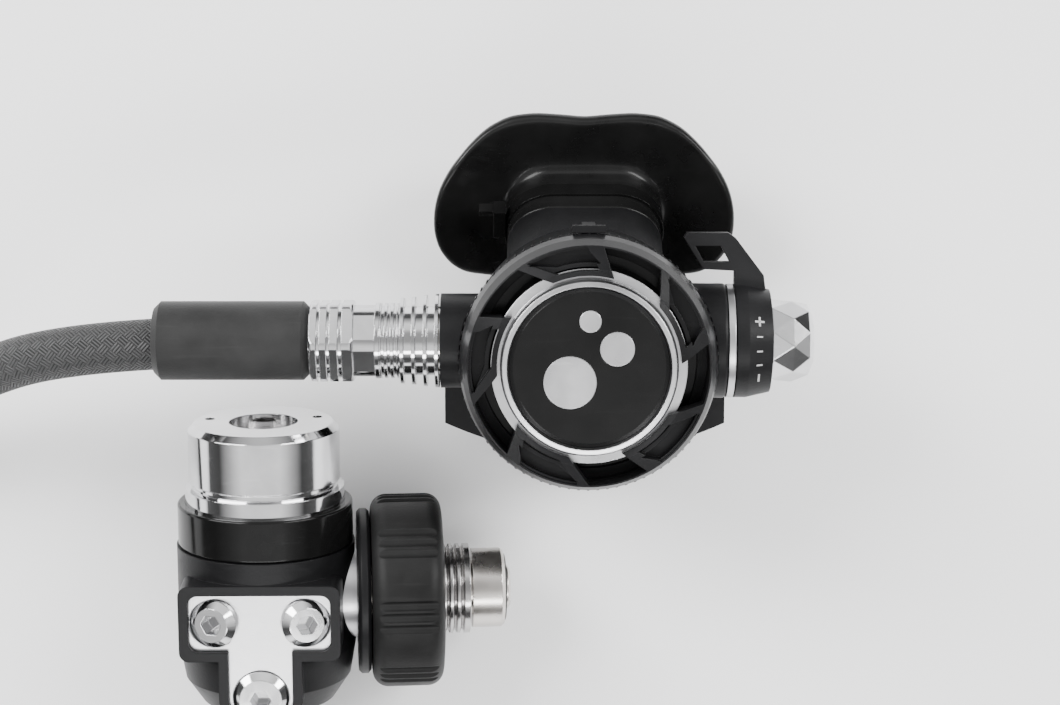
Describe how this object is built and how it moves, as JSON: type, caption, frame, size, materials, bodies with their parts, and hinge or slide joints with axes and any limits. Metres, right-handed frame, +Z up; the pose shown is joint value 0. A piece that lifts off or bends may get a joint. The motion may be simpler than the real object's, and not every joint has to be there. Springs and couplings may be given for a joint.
{
  "type": "scuba regulator set",
  "caption": "Two-stage breathing regulator: second stage with mouthpiece, purge button and finned inlet, a braided low-pressure hose, and a first stage with a DIN handwheel.",
  "frame": {"origin": "on the surface that the set lies on, under the middle of its box without the hose", "axes": "+Z up; +X from the hose side of the second stage toward its knob; +Y from the first stage toward the mouthpiece"},
  "size_m": [0.2935, 0.2594, 0.088],
  "materials": {
    "case_plastic": "satin moulded",
    "cover_plastic": "satin",
    "gloss_black": "gloss",
    "silicone": "soft satin",
    "rubber": "matte",
    "chrome": "polished",
    "satin_chrome": "satin",
    "steel": "machined",
    "brass": "machined",
    "braid": "braided",
    "inner_plastic": "moulded"
  },
  "bodies": {
    "regulator": {"case": "case_plastic", "front_cover": "cover_plastic", "cover_lock_tab": "case_plastic", "purge_spring": "steel", "diaphragm": "silicone", "diaphragm_ring": "inner_plastic", "lever_pin": "steel", "valve_barrel": "brass", "inlet_o_rings": "rubber", "inlet_crown": "brass", "poppet_spring": "steel", "knob_retainer": "steel", "venturi_trim_ring": "satin_chrome", "heat_exchanger": "chrome", "inlet_fitting": "chrome", "exhaust_tee": "case_plastic", "mouthpiece": "silicone", "mouthpiece_clamp": "gloss_black", "hose_nut": "chrome", "hose_stem_second": "chrome", "hose_ferrules": "chrome", "hose_protector": "rubber", "hose": "braid", "hose_end_first": "chrome", "first_stage_body": "satin_chrome", "first_stage_shroud": "case_plastic", "label_band": "gloss_black", "spring_cap": "chrome", "adjuster": "brass", "main_spring": "steel", "first_stage_diaphragm": "rubber", "diaphragm_clamp_ring": "brass", "high_pressure_seat": "brass", "high_pressure_spring": "steel", "front_port_plugs": "chrome", "back_port_plugs": "chrome", "din_collar": "case_plastic", "din_stem": "steel", "din_o_ring": "rubber", "closing_spring": "steel", "inlet_filter": "brass"},
    "purge": {"purge_button": "gloss_black", "purge_rim": "satin_chrome", "purge_emblem": "satin_chrome"},
    "diaphragm_disc": {"diaphragm_plate": "inner_plastic"},
    "lever": {"demand_lever": "steel"},
    "poppet_body": {"poppet": "inner_plastic", "poppet_seat": "rubber"},
    "screw": {"adjusting_screw": "brass"},
    "knob": {"effort_knob": "chrome"},
    "venturi": {"venturi_lever": "case_plastic", "venturi_vane": "inner_plastic"},
    "exhaust_flap": {"exhaust_valve": "silicone"},
    "regulating_stack": {"spring_pad": "brass", "lifter_pin": "steel", "high_pressure_poppet": "brass"},
    "handwheel": {"din_handwheel": "rubber", "din_threaded_sleeve": "brass"},
    "piston": {"closing_piston": "steel"}
  },
  "joints": [
    {"name": "purge_press", "type": "slide", "parent": "regulator", "child": "purge", "axis": [0, 0.3206, -0.9472], "range_m": [0, 0.003], "stiffness_N_per_m": 400, "springref_m": -0.002, "deforming": ["purge_spring"]},
    {"name": "diaphragm_move", "type": "slide", "parent": "regulator", "child": "diaphragm_disc", "axis": [0, 0.3206, -0.9472], "range_m": [0, 0.003], "deforming": ["diaphragm"]},
    {"name": "lever_tilt", "type": "hinge", "parent": "regulator", "child": "lever", "pos_m": [0.04165, 0.01381, 0.06519], "axis": [0, -0.9472, -0.3206], "range_deg": [0, 9.2]},
    {"name": "poppet_open", "type": "slide", "parent": "regulator", "child": "poppet_body", "axis": [1, 0, 0], "range_m": [0, 0.0013], "deforming": ["poppet_spring"]},
    {"name": "knob_turn", "type": "hinge", "parent": "regulator", "child": "knob", "pos_m": [0.07565, 0.01634, 0.0577], "axis": [-1, 0, 0], "range_deg": [0, 900]},
    {"name": "screw_feed", "type": "slide", "parent": "regulator", "child": "screw", "axis": [-1, 0, 0], "range_m": [0, 0.002]},
    {"name": "venturi_turn", "type": "hinge", "parent": "regulator", "child": "venturi", "pos_m": [0.06565, 0.01634, 0.0577], "axis": [-1, 0, 0], "range_deg": [0, 50]},
    {"name": "exhaust_lift", "type": "slide", "parent": "regulator", "child": "exhaust_flap", "axis": [0, 0.3206, -0.9472], "range_m": [0, 0.0015], "stiffness_N_per_m": 60, "springref_m": -0.002},
    {"name": "stack_move", "type": "slide", "parent": "regulator", "child": "regulating_stack", "axis": [0, -0.9304, -0.3665], "range_m": [0, 0.0006], "stiffness_N_per_m": 2000, "springref_m": -0.001, "deforming": ["main_spring", "first_stage_diaphragm", "high_pressure_spring"]},
    {"name": "handwheel_spin", "type": "hinge", "parent": "regulator", "child": "handwheel", "pos_m": [-0.02048, -0.04238, 0.02496], "axis": [0.9962, 0.0319, -0.0811], "continuous": true},
    {"name": "piston_press", "type": "slide", "parent": "regulator", "child": "piston", "axis": [-0.9962, -0.0319, 0.0811], "range_m": [0, 0.0014], "stiffness_N_per_m": 500, "springref_m": -0.001, "deforming": ["closing_spring"]}
  ],
  "couplings": [
    {"joint": "diaphragm_move", "follows": "purge_press", "ratio": 1},
    {"joint": "lever_tilt", "follows": "purge_press", "rad_per_m": 52.9},
    {"joint": "poppet_open", "follows": "purge_press", "ratio": 0.4},
    {"joint": "screw_feed", "follows": "knob_turn", "m_per_rad": 0.000127}
  ]
}
